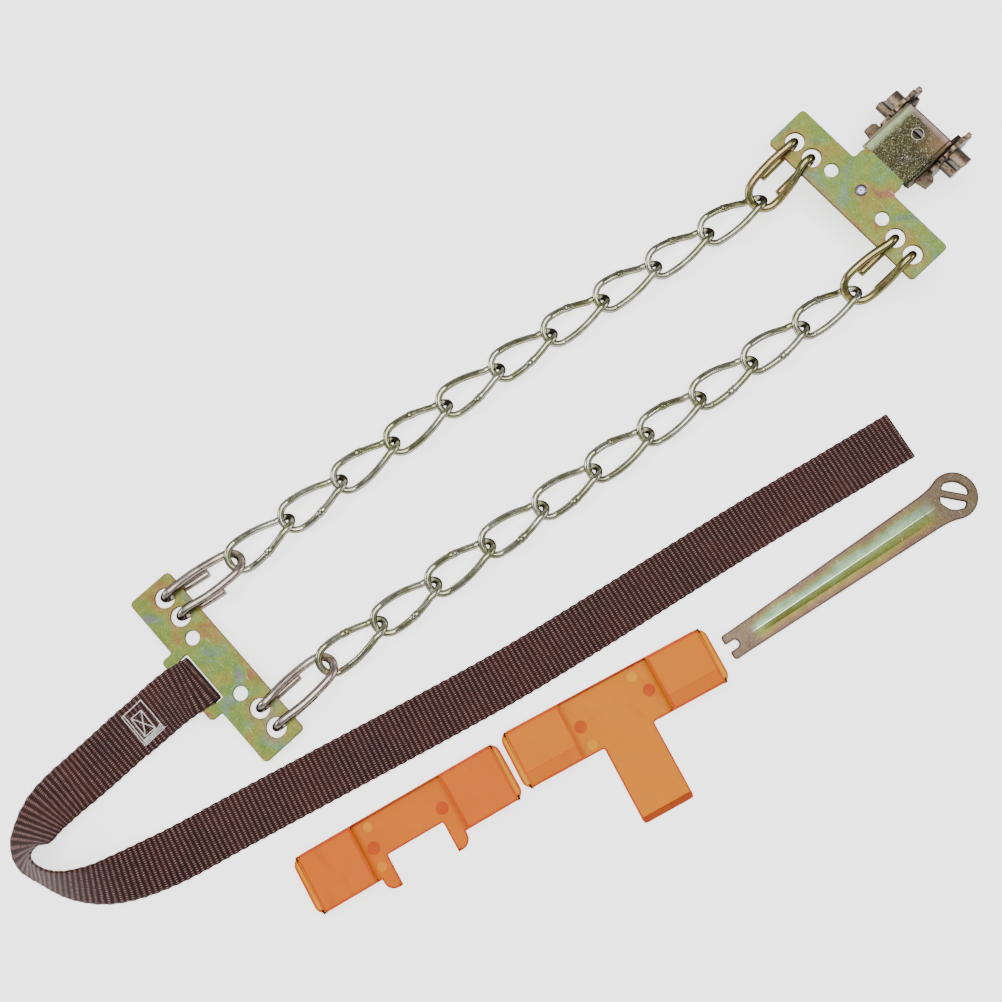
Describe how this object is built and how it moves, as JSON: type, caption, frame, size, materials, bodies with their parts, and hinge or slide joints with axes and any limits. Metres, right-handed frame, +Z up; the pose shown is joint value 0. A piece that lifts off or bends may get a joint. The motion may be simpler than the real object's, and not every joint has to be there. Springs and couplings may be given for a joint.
{
  "type": "emergency tyre chain kit",
  "caption": "Ladder of two twisted-link chains hooked between a strap plate and a ratchet tensioner plate, with webbing strap, slip-on plate covers and a flat key.",
  "frame": {"origin": "on the ground, under the middle of everything but the loose strap", "axes": "+X from the strap plate along the chains to the ratchet plate, +Y along both plates away from the key and covers, +Z up out of the ground"},
  "size_m": [0.5678, 0.2404, 0.0306],
  "materials": {
    "plate_zinc": "stamped sheet steel, yellow-passivated zinc with a green and gold sheen",
    "link_zinc": "bright zinc-plated wire, smooth and glossy",
    "hook_wire": "zinc-plated wire with a faint pink and gold tint",
    "ratchet_steel": "zinc-plated steel with a brown-pink tint and dark cut edges",
    "spring_steel": "grey-lavender spring and rivet steel",
    "webbing": "dark brown woven webbing with fine paler cross ribs and a box of pale stitching",
    "cover_orange": "flexible translucent orange plastic, smooth and glossy",
    "cover_orange_deep": "flexible orange plastic, a little more opaque",
    "key_steel": "stamped steel strip, zinc-plated, brown-grey with a green-gold sheen along its rib"
  },
  "bodies": {
    "strap_end": {"strap_plate": "plate_zinc", "strap": "webbing", "strap_loop": "webbing"},
    "near_hook_a": {"strap_hook_a": "hook_wire"},
    "link_a1": {"link_a1": "link_zinc"},
    "link_a2": {"link_a2": "link_zinc"},
    "link_a3": {"link_a3": "link_zinc"},
    "link_a4": {"link_a4": "link_zinc"},
    "link_a5": {"link_a5": "link_zinc"},
    "link_a6": {"link_a6": "link_zinc"},
    "link_a7": {"link_a7": "link_zinc"},
    "link_a8": {"link_a8": "link_zinc"},
    "link_a9": {"link_a9": "link_zinc"},
    "link_a10": {"link_a10": "link_zinc"},
    "far_hook_a": {"ratchet_hook_a": "hook_wire"},
    "near_hook_b": {"strap_hook_b": "hook_wire"},
    "link_b1": {"link_b1": "link_zinc"},
    "link_b2": {"link_b2": "link_zinc"},
    "link_b3": {"link_b3": "link_zinc"},
    "link_b4": {"link_b4": "link_zinc"},
    "link_b5": {"link_b5": "link_zinc"},
    "link_b6": {"link_b6": "link_zinc"},
    "link_b7": {"link_b7": "link_zinc"},
    "link_b8": {"link_b8": "link_zinc"},
    "link_b9": {"link_b9": "link_zinc"},
    "link_b10": {"link_b10": "link_zinc"},
    "far_hook_b": {"ratchet_hook_b": "hook_wire"},
    "ratchet_plate": {"ratchet_plate": "plate_zinc", "plate_rivet": "spring_steel", "pawl_spring": "spring_steel"},
    "spindle": {"ratchet_wheel_left": "ratchet_steel", "ratchet_wheel_right": "ratchet_steel", "spindle_pin_front": "ratchet_steel", "spindle_pin_rear": "ratchet_steel"},
    "pawl": {"pawl": "ratchet_steel"},
    "ratchet_cover": {"ratchet_cover": "cover_orange"},
    "strap_cover": {"strap_cover": "cover_orange_deep"},
    "key": {"key": "key_steel"}
  },
  "joints": [
    {"name": "wrap_a00", "type": "hinge", "parent": "strap_end", "child": "near_hook_a", "pos_m": [-0.20069, 0.10264, 0.007], "axis": [0, -1, 0], "range_deg": [0, 8]},
    {"name": "wrap_a01", "type": "hinge", "parent": "near_hook_a", "child": "link_a1", "pos_m": [-0.16579, 0.10264, 0.0069], "axis": [0, -1, 0], "range_deg": [0, 15]},
    {"name": "wrap_a02", "type": "hinge", "parent": "link_a1", "child": "link_a2", "pos_m": [-0.13499, 0.10056, 0.0069], "axis": [0, -1, 0], "range_deg": [0, 15]},
    {"name": "wrap_a03", "type": "hinge", "parent": "link_a2", "child": "link_a3", "pos_m": [-0.10419, 0.09809, 0.0069], "axis": [0, -1, 0], "range_deg": [0, 15]},
    {"name": "wrap_a04", "type": "hinge", "parent": "link_a3", "child": "link_a4", "pos_m": [-0.07339, 0.09523, 0.0069], "axis": [0, -1, 0], "range_deg": [0, 15]},
    {"name": "wrap_a05", "type": "hinge", "parent": "link_a4", "child": "link_a5", "pos_m": [-0.04259, 0.09199, 0.0069], "axis": [0, -1, 0], "range_deg": [0, 15]},
    {"name": "wrap_a06", "type": "hinge", "parent": "link_a5", "child": "link_a6", "pos_m": [-0.01179, 0.08837, 0.0069], "axis": [0, -1, 0], "range_deg": [0, 15]},
    {"name": "wrap_a07", "type": "hinge", "parent": "link_a6", "child": "link_a7", "pos_m": [0.01901, 0.08437, 0.0069], "axis": [0, -1, 0], "range_deg": [0, 15]},
    {"name": "wrap_a08", "type": "hinge", "parent": "link_a7", "child": "link_a8", "pos_m": [0.04981, 0.07998, 0.0069], "axis": [0, -1, 0], "range_deg": [0, 15]},
    {"name": "wrap_a09", "type": "hinge", "parent": "link_a8", "child": "link_a9", "pos_m": [0.08061, 0.0752, 0.00717], "axis": [0, -1, 0], "range_deg": [0, 15]},
    {"name": "wrap_a10", "type": "hinge", "parent": "link_a9", "child": "link_a10", "pos_m": [0.11141, 0.07005, 0.00797], "axis": [0, -1, 0], "range_deg": [0, 15]},
    {"name": "wrap_a11", "type": "hinge", "parent": "link_a10", "child": "far_hook_a", "pos_m": [0.14221, 0.06451, 0.0093], "axis": [0, -1, 0], "range_deg": [0, 15]},
    {"name": "wrap_b00", "type": "hinge", "parent": "strap_end", "child": "near_hook_b", "pos_m": [-0.20069, 0.03766, 0.007], "axis": [0, -1, 0], "range_deg": [0, 8]},
    {"name": "wrap_b01", "type": "hinge", "parent": "near_hook_b", "child": "link_b1", "pos_m": [-0.16579, 0.03766, 0.0069], "axis": [0, -1, 0], "range_deg": [0, 15]},
    {"name": "wrap_b02", "type": "hinge", "parent": "link_b1", "child": "link_b2", "pos_m": [-0.13499, 0.03455, 0.0069], "axis": [0, -1, 0], "range_deg": [0, 15]},
    {"name": "wrap_b03", "type": "hinge", "parent": "link_b2", "child": "link_b3", "pos_m": [-0.10419, 0.03129, 0.0069], "axis": [0, -1, 0], "range_deg": [0, 15]},
    {"name": "wrap_b04", "type": "hinge", "parent": "link_b3", "child": "link_b4", "pos_m": [-0.07339, 0.02787, 0.0069], "axis": [0, -1, 0], "range_deg": [0, 15]},
    {"name": "wrap_b05", "type": "hinge", "parent": "link_b4", "child": "link_b5", "pos_m": [-0.04259, 0.0243, 0.0069], "axis": [0, -1, 0], "range_deg": [0, 15]},
    {"name": "wrap_b06", "type": "hinge", "parent": "link_b5", "child": "link_b6", "pos_m": [-0.01179, 0.02057, 0.0069], "axis": [0, -1, 0], "range_deg": [0, 15]},
    {"name": "wrap_b07", "type": "hinge", "parent": "link_b6", "child": "link_b7", "pos_m": [0.01901, 0.0167, 0.0069], "axis": [0, -1, 0], "range_deg": [0, 15]},
    {"name": "wrap_b08", "type": "hinge", "parent": "link_b7", "child": "link_b8", "pos_m": [0.04981, 0.01267, 0.0069], "axis": [0, -1, 0], "range_deg": [0, 15]},
    {"name": "wrap_b09", "type": "hinge", "parent": "link_b8", "child": "link_b9", "pos_m": [0.08061, 0.0085, 0.00717], "axis": [0, -1, 0], "range_deg": [0, 15]},
    {"name": "wrap_b10", "type": "hinge", "parent": "link_b9", "child": "link_b10", "pos_m": [0.11141, 0.00417, 0.00797], "axis": [0, -1, 0], "range_deg": [0, 15]},
    {"name": "wrap_b11", "type": "hinge", "parent": "link_b10", "child": "far_hook_b", "pos_m": [0.14221, -0.00032, 0.0093], "axis": [0, -1, 0], "range_deg": [0, 15]},
    {"name": "wrap_a12", "type": "hinge", "parent": "far_hook_a", "child": "ratchet_plate", "pos_m": [0.17241, 0.03247, 0.019], "axis": [0, -1, 0], "range_deg": [0, 12]},
    {"name": "spindle_turn", "type": "hinge", "parent": "ratchet_plate", "child": "spindle", "pos_m": [0.22502, 0.03327, 0.01485], "axis": [0, 1, 0], "continuous": true},
    {"name": "pawl_release", "type": "slide", "parent": "ratchet_plate", "child": "pawl", "axis": [1, 0, 0], "range_m": [-0.002, 0], "stiffness_N_per_m": 400, "springref_m": 0.002, "deforming": ["pawl_spring"]},
    {"name": "cover_lift_ratchet", "type": "slide", "parent": "strap_end", "child": "ratchet_cover", "axis": [0, 0, 1], "range_m": [0, 0.03]},
    {"name": "cover_lift_strap", "type": "slide", "parent": "strap_end", "child": "strap_cover", "axis": [0, 0, 1], "range_m": [0, 0.03]},
    {"name": "key_lift", "type": "slide", "parent": "strap_end", "child": "key", "axis": [0, 0, 1], "range_m": [0, 0.03]}
  ],
  "couplings": [
    {"joint": "wrap_b00", "follows": "wrap_a00", "ratio": 1},
    {"joint": "wrap_b01", "follows": "wrap_a01", "ratio": 1},
    {"joint": "wrap_b02", "follows": "wrap_a02", "ratio": 1},
    {"joint": "wrap_b03", "follows": "wrap_a03", "ratio": 1},
    {"joint": "wrap_b04", "follows": "wrap_a04", "ratio": 1},
    {"joint": "wrap_b05", "follows": "wrap_a05", "ratio": 1},
    {"joint": "wrap_b06", "follows": "wrap_a06", "ratio": 1},
    {"joint": "wrap_b07", "follows": "wrap_a07", "ratio": 1},
    {"joint": "wrap_b08", "follows": "wrap_a08", "ratio": 1},
    {"joint": "wrap_b09", "follows": "wrap_a09", "ratio": 1},
    {"joint": "wrap_b10", "follows": "wrap_a10", "ratio": 1},
    {"joint": "wrap_b11", "follows": "wrap_a11", "ratio": 1}
  ]
}
